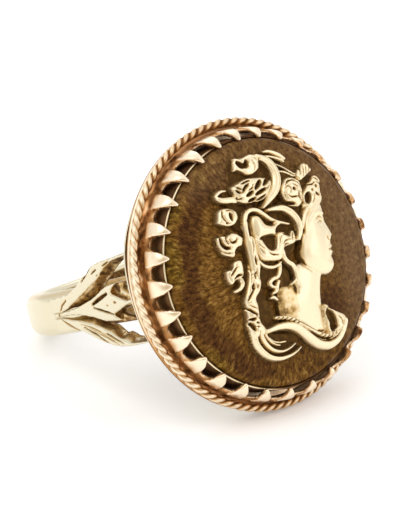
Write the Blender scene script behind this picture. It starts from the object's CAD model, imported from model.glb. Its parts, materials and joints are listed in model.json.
"""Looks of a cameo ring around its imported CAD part: a round setting on a plain band with leaf shoulders.

Lengths are millimetres in the ring's own axes until a piece is made, and metres from there on.
"""
import json
import math

import bpy
import numpy as np
from mathutils import Matrix, Vector


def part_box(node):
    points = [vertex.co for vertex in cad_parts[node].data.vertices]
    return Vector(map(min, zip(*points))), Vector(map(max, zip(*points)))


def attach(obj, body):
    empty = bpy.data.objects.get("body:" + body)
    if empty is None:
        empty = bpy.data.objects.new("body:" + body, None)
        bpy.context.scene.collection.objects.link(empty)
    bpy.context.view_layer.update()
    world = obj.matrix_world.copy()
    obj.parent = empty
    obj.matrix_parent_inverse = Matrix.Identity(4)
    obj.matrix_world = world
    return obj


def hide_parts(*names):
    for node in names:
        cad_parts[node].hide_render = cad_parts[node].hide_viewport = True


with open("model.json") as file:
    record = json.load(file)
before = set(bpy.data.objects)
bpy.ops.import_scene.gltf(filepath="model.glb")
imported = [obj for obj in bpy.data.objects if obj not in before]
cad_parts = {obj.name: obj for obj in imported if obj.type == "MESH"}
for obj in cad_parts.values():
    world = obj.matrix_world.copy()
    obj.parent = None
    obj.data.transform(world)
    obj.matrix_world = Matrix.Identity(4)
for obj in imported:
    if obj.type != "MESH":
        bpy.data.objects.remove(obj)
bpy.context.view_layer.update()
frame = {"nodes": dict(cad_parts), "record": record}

MM = 0.001
FULL_TURN = 2 * math.pi
rng = np.random.default_rng(7)          # teeth and patina
grime_rng = np.random.default_rng(11)   # stains of the leaves

# The ring's own axes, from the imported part

finger_hole = next(m for m in frame["record"]["mounts"] if m["name"] == "finger_hole")
HOLE = np.array(finger_hole["pos_m"])
UP = np.array(finger_hole["axis"])          # along the finger
RIGHT = np.array((0.0, 1.0, 0.0))           # a viewer's right, facing the setting
OUT = np.cross(RIGHT, UP)                   # from the finger towards the setting
low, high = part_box("rope_border")
SETTING = (np.array(low) + np.array(high)) / 2


def reach_of(node):
    """Highest (right, up, out) of a CAD node from the middle of the rope border, in mm."""
    co = np.array([v.co for v in frame["nodes"][node].data.vertices]) - SETTING
    return (np.stack([co @ RIGHT, co @ UP, co @ OUT], 1) / MM).max(0)


def on_setting(points):
    """(right, up, out) in mm from the rope border's middle, to the row frame in metres."""
    p = np.asarray(points, float) * MM
    return SETTING + p[..., :1] * RIGHT + p[..., 1:2] * UP + p[..., 2:3] * OUT


def on_ring(points):
    """(out, right, up) in mm from the middle of the finger hole, to the row frame in metres."""
    p = np.asarray(points, float) * MM
    return HOLE + p[..., :1] * OUT + p[..., 1:2] * RIGHT + p[..., 2:3] * UP


def round_setting(r, angle, h):
    """Points at a radius, an angle and a height round the setting's axis, in the row frame."""
    return on_setting(np.stack(np.broadcast_arrays(r * np.cos(angle), r * np.sin(angle), h), -1))


bore_r = finger_hole["dims"]["r_mm"]
band_w = finger_hole["dims"]["length_mm"]
reach = float((SETTING - HOLE) @ OUT) / MM
setting_r = reach_of("rope_border")[0]
seat_r = reach_of("crown")[0]
gallery_r = reach_of("shank")[0]
collet_r, _, collet_top = reach_of("collet")
stone_r, _, dome_top = reach_of("stone")

band_wall = 1.75
band_r = bore_r + band_wall
rope_r = 0.425
rope_ring_r = setting_r - rope_r
stone_shoulder = 0.65
stone_wall_h = 2.15
dome_edge_r = stone_r - stone_shoulder
dome_rise = dome_top - stone_wall_h - stone_shoulder
dome_r = (dome_edge_r ** 2 + dome_rise ** 2) / (2 * dome_rise)


def dome_height(r):
    """Height of the stone's dome at a distance from its middle."""
    return dome_top - dome_r + np.sqrt(dome_r ** 2 - np.minimum(r, dome_edge_r) ** 2)


# Camera

CAMERA_AZIMUTH, CAMERA_ELEVATION, CAMERA_ROLL = 49.2, 23.5, 1.0   # degrees
CAMERA_DISTANCE = 318.6
CAMERA_LENS, CAMERA_SENSOR = 270.3, 36
AIM_RIGHT, AIM_UP = -4.02, 0.07   # from the rope border's middle to the middle of the picture


def new_object(name, data):
    """An object that is linked to the scene."""
    made = bpy.data.objects.new(name, data)
    bpy.context.scene.collection.objects.link(made)
    return made


azimuth, elevation = math.radians(CAMERA_AZIMUTH), math.radians(CAMERA_ELEVATION)
level = math.cos(elevation)
back = Vector((math.sin(azimuth) * level, -math.cos(azimuth) * level, math.sin(elevation)))
turn = (-back).to_track_quat("-Z", "Y").to_matrix() @ Matrix.Rotation(math.radians(-CAMERA_ROLL), 3, "Z")
camera = new_object("camera", bpy.data.cameras.new("camera"))
camera.data.lens = CAMERA_LENS
camera.data.sensor_width = CAMERA_SENSOR
camera.data.clip_start, camera.data.clip_end = 0.01, 10
aim = Vector(SETTING) + (turn.col[0] * AIM_RIGHT + turn.col[1] * AIM_UP) * MM
camera.matrix_world = Matrix.Translation(aim + back * CAMERA_DISTANCE * MM) @ turn.to_4x4()
bpy.context.scene.camera = camera

# Mesh helpers


def make_piece(name, parts, material, node):
    """One object that stands for a CAD node, from (points in metres, list of face arrays, cavity) parts."""
    points, faces, cavity, count = [], [], [], 0
    for part_points, part_faces, part_cavity in parts:
        points.append(part_points.reshape(-1, 3))
        cavity.append(np.broadcast_to(part_cavity, len(points[-1])))
        for group in part_faces:
            faces.extend((group + count).tolist())
        count += len(points[-1])
    mesh = bpy.data.meshes.new(name)
    mesh.from_pydata(np.concatenate(points).tolist(), [], faces)
    mesh.validate()
    mesh.shade_smooth()
    attribute = mesh.attributes.new("cavity", "FLOAT", "POINT")
    attribute.data.foreach_set("value", np.concatenate(cavity).astype(np.float32))
    mesh.materials.append(material)
    piece = new_object(name, mesh)
    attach(piece, "root")
    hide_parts(node)


def all_round(steps):
    """Angles of even steps once round, as a column."""
    return np.linspace(0, FULL_TURN, steps, endpoint=False)[:, None]


def closed_faces(rows, columns):
    """Quads of a rows by columns lattice of points that closes both ways, row after row."""
    i, j = np.arange(rows)[:, None], np.arange(columns)[None, :]
    next_i, next_j = (i + 1) % rows, (j + 1) % columns
    corners = [i * columns + j, i * columns + next_j, next_i * columns + next_j, next_i * columns + j]
    return [np.stack(corners, -1).reshape(-1, 4)]


def lathe(profile, segments=256):
    """(points, faces) of a closed (radius, height) profile turned round the setting's axis."""
    profile = np.asarray(profile, float)
    points = round_setting(profile[None, :, 0], all_round(segments), profile[None, :, 1])
    return points, closed_faces(segments, len(profile))


def rounded(corners, radius, steps=4):
    """A closed outline with each corner cut to an arc-like bend."""
    c = np.asarray(corners, float)
    before, after = np.roll(c, 1, 0) - c, np.roll(c, -1, 0) - c
    length_before, length_after = (np.linalg.norm(v, axis=1)[:, None] for v in (before, after))
    a = c + before / length_before * np.minimum(radius, length_before / 2.5)
    b = c + after / length_after * np.minimum(radius, length_after / 2.5)
    t = np.linspace(0, 1, steps + 1)[None, :, None]
    return ((1 - t) ** 2 * a[:, None] + 2 * t * (1 - t) * c[:, None] + t ** 2 * b[:, None]).reshape(-1, 2)


def strap(inner, outer, bottom, top, radius, steps=4):
    """A rounded four-sided section from its radii and heights."""
    return rounded([(inner, bottom), (outer, bottom), (outer, top), (inner, top)], radius, steps)


def smooth_line(points, steps, closed=False):
    """Catmull-Rom curve through points."""
    p = np.asarray(points, float)
    if closed:
        p = np.concatenate([p[-1:], p, p[:2]])
    else:
        p = np.concatenate([2 * p[:1] - p[1:2], p, 2 * p[-1:] - p[-2:-1]])
    t = np.linspace(0, 1, steps, endpoint=False)[None, :, None]
    a, b, c, d = (p[i:len(p) - 3 + i][:, None] for i in range(4))
    square, cube = 2 * a - 5 * b + 4 * c - d, 3 * b - a - 3 * c + d
    curve = 0.5 * (2 * b + (c - a) * t + square * t ** 2 + cube * t ** 3)
    curve = curve.reshape(-1, p.shape[1])
    return curve if closed else np.concatenate([curve, p[-2:-1]])


def soften(field, sigma):
    """Gaussian blur of a grid, sigma in cells."""
    cells = max(1, int(3 * sigma))
    kernel = np.exp(-0.5 * (np.arange(-cells, cells + 1) / sigma) ** 2)
    kernel /= kernel.sum()
    for axis in (0, 1):
        margins = [(cells, cells) if a == axis else (0, 0) for a in (0, 1)]
        padded = np.pad(field, margins, mode="edge")
        size = field.shape[axis]
        field = sum(k * np.take(padded, np.arange(i, i + size), axis) for i, k in enumerate(kernel))
    return field


def ease(x):
    """A smooth step from 0 at 0 to 1 at 1."""
    x = np.clip(x, 0, 1)
    return x * x * (3 - 2 * x)


def arc_share(segments, start, rise, end, fall):
    """1 on an arc of a turned shape and 0 beyond it, with soft ends. Angles are degrees."""
    angle = np.linspace(0, 360, segments, endpoint=False)[:, None]
    return ease((angle - start) / rise) * ease((end - angle) / fall)


def rounded_edge(distance, radius):
    """How far a surface falls at a distance inside its outline, for an edge that is a quarter circle."""
    flat = radius - np.clip(distance, 0, radius)
    return radius - np.sqrt(np.clip(radius ** 2 - flat ** 2, 0, None))


def to_segment(x, y, start, end):
    """(share of the way, distance) of the nearest point on a line from start to end."""
    (ax, ay), (bx, by) = start, end
    dx, dy = bx - ax, by - ay
    t = np.clip(((x - ax) * dx + (y - ay) * dy) / (dx * dx + dy * dy + 1e-12), 0, 1)
    return t, np.hypot(x - ax - t * dx, y - ay - t * dy)


def inside_distance(x, y, outline):
    """Distance to a closed outline, positive inside."""
    outline = np.asarray(outline, float)
    nearest, inside = np.full(x.shape, 1e9), np.zeros(x.shape, bool)
    for start, end in zip(outline, np.roll(outline, -1, 0)):
        (ax, ay), (bx, by) = start, end
        nearest = np.minimum(nearest, to_segment(x, y, start, end)[1])
        if ay != by:
            crosses = (ay > y) != (by > y)
            inside ^= crosses & (x < (bx - ax) * (y - ay) / (by - ay) + ax)
    return np.where(inside, nearest, -nearest)


def along_line(x, y, line, widths):
    """(distance over half width, length along, signed side, half width) of the nearest part of a line.

    widths are the half widths at its start, middle and end.
    """
    line = np.asarray(line, float)
    first, middle, last = widths
    lengths = np.concatenate([[0], np.cumsum(np.hypot(*np.diff(line, axis=0).T))])
    best, at, side, wide = (np.full(x.shape, v) for v in (1e9, 0.0, 0.0, 1.0))
    for i, (start, end) in enumerate(zip(line[:-1], line[1:])):
        t, distance = to_segment(x, y, start, end)
        length = lengths[i] + t * (lengths[i + 1] - lengths[i])
        share = length / lengths[-1]
        bulge = (4 * middle - first - last) * share * (1 - share)
        w = first * (1 - share) ** 2 + bulge + last * share ** 2
        q = distance / w
        (ax, ay), (dx, dy) = start, end - start
        nearer = q < best
        best = np.where(nearer, q, best)
        at = np.where(nearer, length, at)
        wide = np.where(nearer, w, wide)
        side = np.where(nearer, np.sign((x - ax) * dy - (y - ay) * dx), side)
    return best, at, side, wide


WALL_LIP = 0.2   # the wall of a relief is dark from this far below its edge


def grid_triangles(rows, columns):
    """Triangles of a rows by columns lattice, with diagonals that alternate."""
    index = np.arange(rows * columns).reshape(rows, columns)
    a, b, c, d = index[:-1, :-1], index[:-1, 1:], index[1:, 1:], index[1:, :-1]
    even = ((np.arange(rows - 1)[:, None] + np.arange(columns - 1)[None, :]) % 2 == 0)[..., None]
    first = np.where(even, np.stack([a, b, c], -1), np.stack([a, b, d], -1))
    second = np.where(even, np.stack([a, c, d], -1), np.stack([b, c, d], -1))
    return np.concatenate([first.reshape(-1, 3), second.reshape(-1, 3)])


def cut_at_edge(shape, triangles, columns_of):
    """(faces, rim, data) of the triangles where shape is positive, cut where it is zero."""
    inside = (shape > 0)[triangles]
    count = inside.sum(1)
    whole = triangles[count == 3]
    one, two = triangles[count == 1], triangles[count == 2]
    # turn each cut triangle so that its odd corner comes first
    one = np.take_along_axis(one, (inside[count == 1].argmax(1)[:, None] + np.arange(3)) % 3, 1)
    two = np.take_along_axis(two, ((~inside[count == 2]).argmax(1)[:, None] + np.arange(3)) % 3, 1)
    pairs = np.concatenate([one[:, [0, 1]], one[:, [0, 2]], two[:, [0, 1]], two[:, [0, 2]]])
    keys, back_to = np.unique(np.sort(pairs, 1), axis=0, return_inverse=True)
    start, end = keys.T
    t = (shape[start] / (shape[start] - shape[end]))[:, None]
    data = np.concatenate([columns_of, columns_of[start] * (1 - t) + columns_of[end] * t])
    sizes = np.cumsum([len(one), len(one), len(two)])
    one_b, one_c, two_b, two_c = np.split(len(shape) + back_to.ravel(), sizes)
    faces = np.concatenate([
        whole, np.stack([one[:, 0], one_b, one_c], 1),
        np.stack([two_b, two[:, 1], two[:, 2]], 1), np.stack([two_b, two[:, 2], two_c], 1)])
    rim = np.concatenate([np.stack([one_b, one_c], 1), np.stack([two_c, two_b], 1)])
    used, renumbered = np.unique(faces, return_inverse=True)
    lookup = np.zeros(len(data), int)
    lookup[used] = np.arange(len(used))
    return renumbered.reshape(-1, 3), lookup[rim], data[used]


def relief(x, y, shape, top, base, cavity, place, hidden):
    """A closed solid over the part of a grid where shape is positive.

    x, y, shape, top, base and cavity are grids, place puts (x, y, height) where it belongs, and hidden is
    the cavity of the walls and the back.
    """
    columns_of = np.stack([g.ravel() for g in (x, y, top, base, cavity)], 1)
    faces, rim, data = cut_at_edge(shape.ravel(), grid_triangles(*x.shape), columns_of)
    n = len(data)
    edge, lip = np.unique(rim, return_inverse=True)
    lip = lip.reshape(rim.shape) + 2 * n
    under_lip = data[edge]
    lip_drop = np.minimum(WALL_LIP, 0.3 * (under_lip[:, 2] - under_lip[:, 3]))
    walls = [np.stack([rim[:, 1], rim[:, 0], lip[:, 0], lip[:, 1]], 1),
             np.stack([lip[:, 1], lip[:, 0], rim[:, 0] + n, rim[:, 1] + n], 1)]
    points = np.concatenate([
        place(data[:, 0], data[:, 1], data[:, 2]), place(data[:, 0], data[:, 1], data[:, 3]),
        place(under_lip[:, 0], under_lip[:, 1], under_lip[:, 2] - lip_drop)])
    dark = np.concatenate([data[:, 4], np.full(n + len(edge), hidden)])
    return points, [faces, faces[:, ::-1] + n, *walls], dark


# Materials

BUMP_DEPTH = 0.00006


class Nodes:
    """Short hand for building a node tree."""

    def __init__(self, tree):
        self.tree = tree

    def feed(self, socket, value):
        """Links another socket to this one, or sets it to a number, a place or a colour."""
        if isinstance(value, bpy.types.NodeSocket):
            self.tree.links.new(value, socket)
        else:
            socket.default_value = (*value, 1) if socket.type == "RGBA" else value

    def add(self, kind, *ordered, **named):
        """A node with its inputs in order or by capitalised name. Other names are its settings."""
        node = self.tree.nodes.new(kind)
        for key, value in named.items():
            if key[0].isupper():
                self.feed(node.inputs[key], value)
            else:
                setattr(node, key, value)
        for socket, value in zip(node.inputs, ordered):
            self.feed(socket, value)
        return node

    def math(self, operation, a, b=0.0, c=0.0):
        return self.add("ShaderNodeMath", a, b, c, operation=operation).outputs[0]

    def plus(self, a, b):
        return self.math("ADD", a, b)

    def minus(self, a, b):
        return self.math("SUBTRACT", a, b)

    def times(self, a, b):
        return self.math("MULTIPLY", a, b)

    def between(self, value, start, full, low=0.0, high=1.0, kind="LINEAR"):
        """low where value is at start, high where it is at full."""
        node = self.add("ShaderNodeMapRange", value, start, full, low, high, interpolation_type=kind)
        return node.outputs[0]

    def mix(self, factor, a, b):
        """Colour a where factor is 0, b where it is 1."""
        node = self.add("ShaderNodeMix", data_type="RGBA")
        for number, value in ((0, factor), (6, a), (7, b)):
            self.feed(node.inputs[number], value)
        return node.outputs[2]

    def ramp(self, value, stops):
        """The colour that belongs to a value, from (place, colour) stops."""
        node = self.add("ShaderNodeValToRGB", value)
        while len(node.color_ramp.elements) < len(stops):
            node.color_ramp.elements.new(0.5)
        for element, (position, colour) in zip(node.color_ramp.elements, stops):
            element.position = position
            element.color = (*colour, 1)
        return node.outputs[0]

    def place(self):
        """Where a point lies, in metres in the row frame."""
        return self.add("ShaderNodeTexCoord").outputs["Object"]

    def noise(self, place, scale, detail, roughness=0.5, distortion=0.0):
        """A noise texture at a place."""
        return self.add("ShaderNodeTexNoise", Vector=place, Scale=scale, Detail=detail, Roughness=roughness,
                        Distortion=distortion)

    def bump(self, height, strength):
        """Fine unevenness of a surface, at most BUMP_DEPTH deep."""
        return self.add("ShaderNodeBump", Height=height, Strength=strength, Distance=BUMP_DEPTH).outputs[0]


def new_material(name):
    """(material, its nodes, its shader)."""
    material = bpy.data.materials.new(name)
    material.use_nodes = True
    return material, Nodes(material.node_tree), material.node_tree.nodes["Principled BSDF"]


# Sizes of the marks on gold, as scales of a noise texture
BLOTCH_SCALE, GRAIN_SCALE, FLECK_SCALE, SCRATCH_SCALE = 900, 5200, 2300, 1500
GRAIN_SHARE = 0.22       # how far the grain frays the edges of the tones
SPECK_FROM, SPECK_SHARE = 0.64, 0.18
PATINA_DULLS, PATINA_ROUGHENS, BLOTCH_ROUGHENS = 0.45, 0.4, 0.08


def gold(name, bright, deep, patina, polish, half=(0.15, 0.6), worn=(0.55, 0.9), fleck=1.8):
    """Polished gold alloy: a deeper tone in half shade, brown patina in the hollows, fine scratches.

    half and worn are the cavity values between which the deeper tone and the patina come in.
    """
    material, n, shader = new_material(name)
    cavity = n.add("ShaderNodeAttribute", attribute_name="cavity").outputs["Fac"]
    place = n.place()
    grain = n.noise(place, GRAIN_SCALE, 4).outputs["Fac"]
    frayed = n.plus(cavity, n.times(n.minus(grain, 0.5), GRAIN_SHARE))
    hollow = n.between(frayed, *worn)
    specks = n.times(n.math("GREATER_THAN", grain, SPECK_FROM), SPECK_SHARE)
    tone = n.mix(specks, n.mix(n.between(frayed, *half), bright, deep), deep)
    flecks = n.between(n.noise(place, FLECK_SCALE, 4, distortion=0.6).outputs["Fac"], 0.46, 0.68)
    stain = n.mix(flecks, patina, tuple(fleck * c for c in patina))
    n.feed(shader.inputs["Base Color"], n.mix(hollow, tone, stain))
    n.feed(shader.inputs["Metallic"], n.minus(1.0, n.times(hollow, PATINA_DULLS)))
    blotch = n.noise(place, BLOTCH_SCALE, 3).outputs["Fac"]
    rough = n.plus(polish, n.times(hollow, PATINA_ROUGHENS))
    n.feed(shader.inputs["Roughness"], n.plus(rough, n.times(blotch, BLOTCH_ROUGHENS)))
    shader.inputs["Specular IOR Level"].default_value = 0.2
    scratches = n.noise(place, SCRATCH_SCALE, 5).outputs["Fac"]
    n.feed(shader.inputs["Normal"], n.bump(n.plus(n.times(scratches, 0.7), n.times(grain, 0.3)), 0.12))
    return material


band_gold = gold(
    "band_gold", bright=(0.742, 0.675, 0.50), deep=(0.61, 0.41, 0.165), patina=(0.090, 0.043, 0.010),
    polish=0.2, fleck=3.6)
relief_gold = gold(
    "relief_gold", bright=(0.90, 0.77, 0.53), deep=(0.62, 0.41, 0.16), patina=(0.085, 0.042, 0.009),
    polish=0.3, half=(0.14, 0.55), worn=(0.5, 0.8))
rose_gold = gold(
    "rose_gold", bright=(0.96, 0.81, 0.60), deep=(0.66, 0.36, 0.14), patina=(0.110, 0.040, 0.008),
    polish=0.26, fleck=3.4)
rope_gold = gold(
    "rope_gold", bright=(0.885, 0.735, 0.53), deep=(0.62, 0.35, 0.13), patina=(0.20, 0.085, 0.025),
    polish=0.28)
collet_gold = gold(
    "collet_gold", bright=(0.86, 0.74, 0.49), deep=(0.34, 0.19, 0.085), patina=(0.100, 0.046, 0.018),
    polish=0.38)

# Tones of the stone: places on a ramp and their colours, from the darkest fibre to the lightest
STONE_TONES = {
    "brown": [(0.30, (0.040, 0.015, 0.002)), (0.50, (0.118, 0.050, 0.007)), (0.66, (0.215, 0.110, 0.020)),
              (0.84, (0.42, 0.26, 0.070))],
    "pale": [(0.30, (0.068, 0.027, 0.004)), (0.50, (0.172, 0.078, 0.013)), (0.66, (0.285, 0.150, 0.034)),
             (0.84, (0.50, 0.32, 0.100))],
    "olive": [(0.34, (0.055, 0.029, 0.003)), (0.52, (0.145, 0.080, 0.009)), (0.66, (0.26, 0.165, 0.024)),
              (0.84, (0.46, 0.34, 0.075))],
    "dark": [(0.30, (0.030, 0.009, 0.003)), (0.56, (0.082, 0.031, 0.007)), (0.86, (0.17, 0.080, 0.022))],
    "grey": [(0.30, (0.095, 0.046, 0.019)), (0.56, (0.180, 0.100, 0.042)), (0.86, (0.30, 0.19, 0.090))]}
SWIRL = (0.0, 0.0007, 0.0007)
FIBRE_LENGTH, FIBRE_FINENESS = 0.62, 0.0105   # scales of the fibre noise along the radius and across it
DARK_PATCH = (0.0037, 0.0044, -0.0049)        # between the neck and the shoulder


def stone_fibres(n, across, up, radius):
    """Noise that runs out from the middle of the stone, fine round it and longer along the radius."""
    fan_out = n.add("ShaderNodeCombineXYZ", n.times(radius, FIBRE_LENGTH),
                    n.times(n.math("DIVIDE", across, radius), FIBRE_FINENESS),
                    n.times(n.math("DIVIDE", up, radius), FIBRE_FINENESS)).outputs[0]
    return n.noise(fan_out, 3300, 5, 0.7).outputs["Fac"]


def brown_stone():
    """Brown stone: silky fibres, a dark crescent and olive flecks on the left, a grey haze on the right."""
    material, n, shader = new_material("brown_stone")
    # along the setting, from its middle: x out of its face, y to a viewer's right, z up
    middle = (-float(SETTING @ OUT), -float(SETTING @ RIGHT), -float(SETTING @ UP))
    upright = (0, math.acos(UP[2]), 0)
    own = n.add("ShaderNodeMapping", Vector=n.place(), Rotation=upright, Location=middle).outputs[0]
    wander = n.noise(own, 800, 3).outputs["Color"]
    swirled = n.add("ShaderNodeVectorMath", wander, SWIRL, own, operation="MULTIPLY_ADD").outputs[0]
    _, across, up = n.add("ShaderNodeSeparateXYZ", Vector=swirled).outputs
    radius = n.math("SQRT", n.plus(n.times(across, across), n.times(up, up)))
    fibre = stone_fibres(n, across, up, radius)
    clouds = n.noise(own, 300, 4).outputs["Fac"]
    speck = n.noise(own, 2600, 5, 0.7).outputs["Fac"]
    share = n.plus(n.math("DIVIDE", radius, stone_r * MM), n.math("MULTIPLY_ADD", clouds, 0.24, -0.12))

    def beside(value, start, full):
        return n.between(value, start, full, kind="SMOOTHSTEP")

    # the fibres fade to a fine mottle towards a viewer's right
    fibrous = n.math("MULTIPLY_ADD", beside(across, 0.0045, 0.0005), 0.8, 0.15)
    streaky = n.times(n.minus(fibre, 0.5), n.times(fibrous, 1.5))
    mottle = n.times(n.minus(speck, 0.5), n.math("MULTIPLY_ADD", fibrous, -0.7, 1.25))
    tone = n.plus(n.plus(streaky, mottle), 0.5)
    tones = {name: n.ramp(tone, stops) for name, stops in STONE_TONES.items()}

    left = beside(across, -0.0010, -0.0045)
    crescent = n.times(beside(share, 0.70, 0.79), beside(share, 0.96, 0.88))
    border = n.times(beside(share, 0.88, 0.96), beside(across, 0.0030, -0.0010))
    from_patch = n.add("ShaderNodeVectorMath", swirled, DARK_PATCH, operation="DISTANCE").outputs["Value"]
    # each layer over the brown: where it is, how strong and which tone
    layers = [
        (n.times(left, beside(share, 0.80, 0.66)), 0.8, "pale"),
        (n.times(left, crescent), 0.85, "dark"),
        (border, 0.8, "pale"),
        (n.times(n.times(border, left), beside(clouds, 0.48, 0.6)), 0.7, "olive"),
        (beside(across, 0.0040, 0.0085), 0.9, "grey"),
        (beside(up, 0.0060, 0.0085), 0.5, "grey"),
        (beside(from_patch, 0.0027, 0.0012), 0.8, "dark")]
    colour = tones["brown"]
    for where, strength, name in layers:
        colour = n.mix(n.times(where, strength), colour, tones[name])
    n.feed(shader.inputs["Base Color"], colour)
    shader.inputs["Roughness"].default_value = 0.36
    shader.inputs["Specular IOR Level"].default_value = 0.05
    n.feed(shader.inputs["Normal"], n.bump(fibre, 0.25))
    return material


# Band, leaves and gallery plate

# Half widths of the band beside the leaves and at the back, and its radius at the back
BAND_UP_SIDE, BAND_UP_BACK = 1.9, 1.31
BAND_DOWN_SIDE, BAND_DOWN_BACK = 1.72, band_w / 2
BAND_BACK_R = band_r - 0.13
BAND_CORNER, BAND_DOME = 0.9, 0.4
BAND_STEPS = 288
leaf_root_x = 1.5
leaf_end_x = reach - 1.215
leaf_run = leaf_end_x - leaf_root_x
leaf_rise, leaf_drop = 4.2, 3.2
leaf_wall = 1.0
leaf_flare, small_flare = 0.75, 0.15
LEAF_CELL = 0.065
LEAF_RIM = 0.16
FACET_SINK = 0.8
FACET_LINE_PITCH = 0.08
GRIME_STRENGTH = 1.6     # stains of a leaf that has grime
GRIME_BELOW = 1.5        # how much more of it lies below the band's middle
# Gallery plate, and the lobes of its edge where the upper leaves end
PLATE_BOTTOM, PLATE_THICKNESS, PLATE_WIDTH = -1.265, 0.2, 3.4
LOBE_OUT, LOBE_AT, LOBE_SPREAD = 0.22, math.radians(23), 0.24

# Leaf outlines seen from the side: share of the run, then share of the rise where positive and of the drop
# where negative
UPPER_LEAF = [
    (-0.1, 0.34), (0.16, 0.4), (0.28, 0.53), (0.35, 0.64), (0.42, 0.71), (0.49, 0.83), (0.55, 0.873),
    (0.63, 0.91), (0.79, 0.95), (0.87, 0.98), (1.01, 1), (1.01, 0.93), (0.9, 0.9), (0.835, 0.851),
    (0.758, 0.774), (0.693, 0.693), (0.621, 0.573), (0.571, 0.507), (0.5, 0.39), (0.4, 0.22), (0.2, 0.08),
    (0.02, 0.05), (-0.1, 0.05)]
UPPER_RIDGE = [
    (0.04, 0.07), (0.09, 0.115), (0.142, 0.182), (0.22, 0.262), (0.3, 0.342), (0.376, 0.421),
    (0.457, 0.519), (0.531, 0.579), (0.583, 0.655), (0.641, 0.768), (0.689, 0.824), (0.749, 0.876),
    (0.804, 0.901), (0.857, 0.919), (0.921, 0.93), (1.01, 0.95)]
MIDDLE_LEAF = [
    (-0.1, 0.06), (0.02, 0.06), (0.085, 0.068), (0.196, 0.101), (0.268, 0.134), (0.343, 0.177),
    (0.418, 0.22), (0.498, 0.282), (0.584, 0.372), (0.65, 0.427), (0.739, 0.458), (0.825, 0.475),
    (0.76, 0.424), (0.718, 0.354), (0.693, 0.299), (0.711, 0.262), (0.77, 0.21), (0.825, 0.15),
    (0.886, 0.105), (0.961, 0.118), (0.947, 0.052), (0.887, 0.033), (0.824, -0.006), (0.757, -0.08),
    (0.692, -0.141), (0.66, -0.165), (0.691, -0.232), (0.723, -0.293), (0.786, -0.334), (0.703, -0.332),
    (0.622, -0.327), (0.543, -0.311), (0.471, -0.252), (0.414, -0.183), (0.33, -0.125), (0.233, -0.064),
    (0.108, -0.025), (0.02, -0.03), (-0.1, -0.05)]
# The middle leaf's deeper layer, which reaches the gallery plate
MIDDLE_BACK = [
    (0.2, 0.08), (0.46, 0.25), (0.58, 0.38), (0.7, 0.45), (0.86, 0.47), (0.85, 0.4), (0.83, 0.34),
    (0.87, 0.27), (0.93, 0.2), (1.01, 0.17), (1.01, 0.03), (0.9, 0), (0.8, -0.07), (0.71, -0.12),
    (0.8, -0.23), (0.9, -0.3), (1.01, -0.31), (1.01, -0.4), (0.86, -0.41), (0.7, -0.42), (0.58, -0.42),
    (0.47, -0.34), (0.4, -0.25), (0.2, -0.05)]
LOWER_LEAF = [
    (-0.1, -0.06), (0.02, -0.06), (0.2, -0.1), (0.34, -0.17), (0.414, -0.33), (0.481, -0.418),
    (0.545, -0.492), (0.581, -0.595), (0.625, -0.727), (0.678, -0.704), (0.718, -0.769), (0.757, -0.847),
    (0.84, -0.9), (1.01, -0.9), (1.01, -1), (0.9, -1.02), (0.714, -1.04), (0.593, -1.015),
    (0.503, -0.948), (0.418, -0.842), (0.324, -0.707), (0.243, -0.562), (0.17, -0.459), (0.1, -0.44),
    (-0.1, -0.44)]
LOWER_RIDGE = [
    (0.02, -0.075), (0.086, -0.152), (0.179, -0.21), (0.245, -0.275), (0.313, -0.334), (0.38, -0.396),
    (0.443, -0.482), (0.482, -0.56), (0.542, -0.671), (0.601, -0.781), (0.662, -0.879), (0.725, -0.964),
    (0.793, -0.99), (1.01, -0.98)]
# Chased slits: half width in mm, depth in mm, line
UPPER_SLITS = [
    (0.075, 0.3, [(0.356, 0.587), (0.41, 0.672), (0.502, 0.827)]),
    (0.065, 0.25, [(0.5, 0.7), (0.535, 0.737), (0.572, 0.776)]),
    (0.065, 0.25, [(0.656, 0.814), (0.7, 0.852), (0.745, 0.886)]),
    (0.06, 0.1, [(0.556, 0.65), (0.565, 0.66), (0.574, 0.67)]),
    (0.08, 0.15, [(0.005, 0.097), (0.041, 0.189), (0.111, 0.291)])]
MIDDLE_SLITS = [
    (0.14, 0.4, [(0.425, 0.118), (0.54, 0.21), (0.655, 0.292)]),
    (0.075, 0.4, [(0.427, 0.058), (0.54, -0.035), (0.662, -0.154)]),
    (0.09, 0.15, [(0.715, 0.108), (0.728, 0.103), (0.741, 0.098)]),
    (0.08, 0.08, [(0.61, 0.07), (0.62, 0.066), (0.634, 0.06)]),
    (0.07, 0.1, [(-0.01, 0.05), (-0.03, 0.01), (-0.03, -0.03)])]
LOWER_SLITS = [
    (0.07, 0.35, [(0.23, -0.386), (0.36, -0.626), (0.482, -0.915)]),
    (0.055, 0.2, [(0.485, -0.627), (0.574, -0.799), (0.652, -0.954)]),
    (0.045, 0.1, [(0.25, -0.33), (0.4, -0.55), (0.55, -0.86)]),
    (0.045, 0.1, [(0.3, -0.44), (0.45, -0.7), (0.6, -0.96)]),
    (0.045, 0.05, [(0.2, -0.29), (0.32, -0.41), (0.42, -0.55)]),
    (0.05, 0.06, [(0.46, -0.6), (0.54, -0.77), (0.64, -0.93)]),
    (0.07, 0.12, [(-0.01, -0.1), (0.08, -0.3), (0.169, -0.45)])]
# Leaves of a shoulder: outline, ridge line, slits, flare, how far the leaf is sunk, its grime
LEAVES = [
    (UPPER_LEAF, UPPER_RIDGE, UPPER_SLITS, small_flare, 0.0, 0.0),
    (MIDDLE_BACK, None, [], leaf_flare, 0.4, 0.6),
    (MIDDLE_LEAF, None, MIDDLE_SLITS, leaf_flare, 0.0, 0.0),
    (LOWER_LEAF, LOWER_RIDGE, LOWER_SLITS, small_flare, 0.0, 0.0)]


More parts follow.
